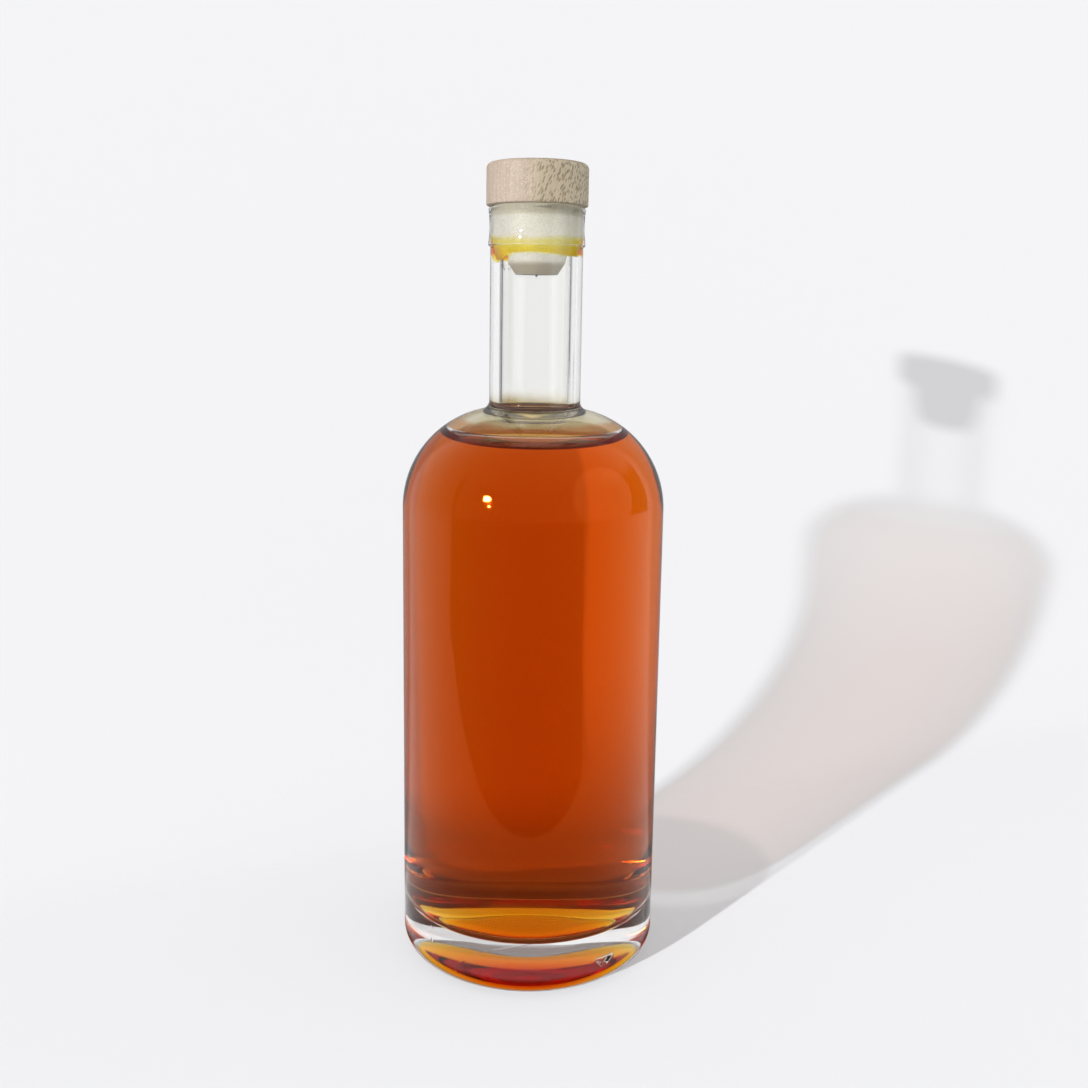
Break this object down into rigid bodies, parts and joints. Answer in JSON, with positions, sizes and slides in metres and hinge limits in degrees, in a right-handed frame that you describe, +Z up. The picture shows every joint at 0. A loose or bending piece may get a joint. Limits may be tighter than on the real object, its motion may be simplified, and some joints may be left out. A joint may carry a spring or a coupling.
{
  "type": "aftershave bottle",
  "caption": "Round clear glass bottle with a thick base, domed shoulder and long neck, holding amber liquid and closed by a wood-headed push-in stopper that lifts out.",
  "frame": {"origin": "centre of the base, on the surface the bottle stands on", "axes": "+Z up the bottle's axis of revolution towards the wooden head; -Y is the side towards the viewer of the rest view, +X to that viewer's right"},
  "size_m": [0.075, 0.075, 0.2293],
  "materials": {
    "flint_glass": "clear polished flint glass",
    "amber_liquid": "clear amber liquid",
    "beech": "bare, finely sanded",
    "hot_melt": "translucent set adhesive",
    "cream_polymer": "fine satin, slightly speckled"
  },
  "bodies": {
    "bottle": {"glass_bottle": "flint_glass", "aftershave_fill": "amber_liquid"},
    "stopper": {"wooden_stopper_head": "beech", "stopper_adhesive": "hot_melt", "stopper_plug": "cream_polymer"}
  },
  "joints": [
    {"name": "stopper_pull", "type": "slide", "parent": "bottle", "child": "stopper", "axis": [0, 0, 1], "range_m": [0, 0.035]}
  ]
}
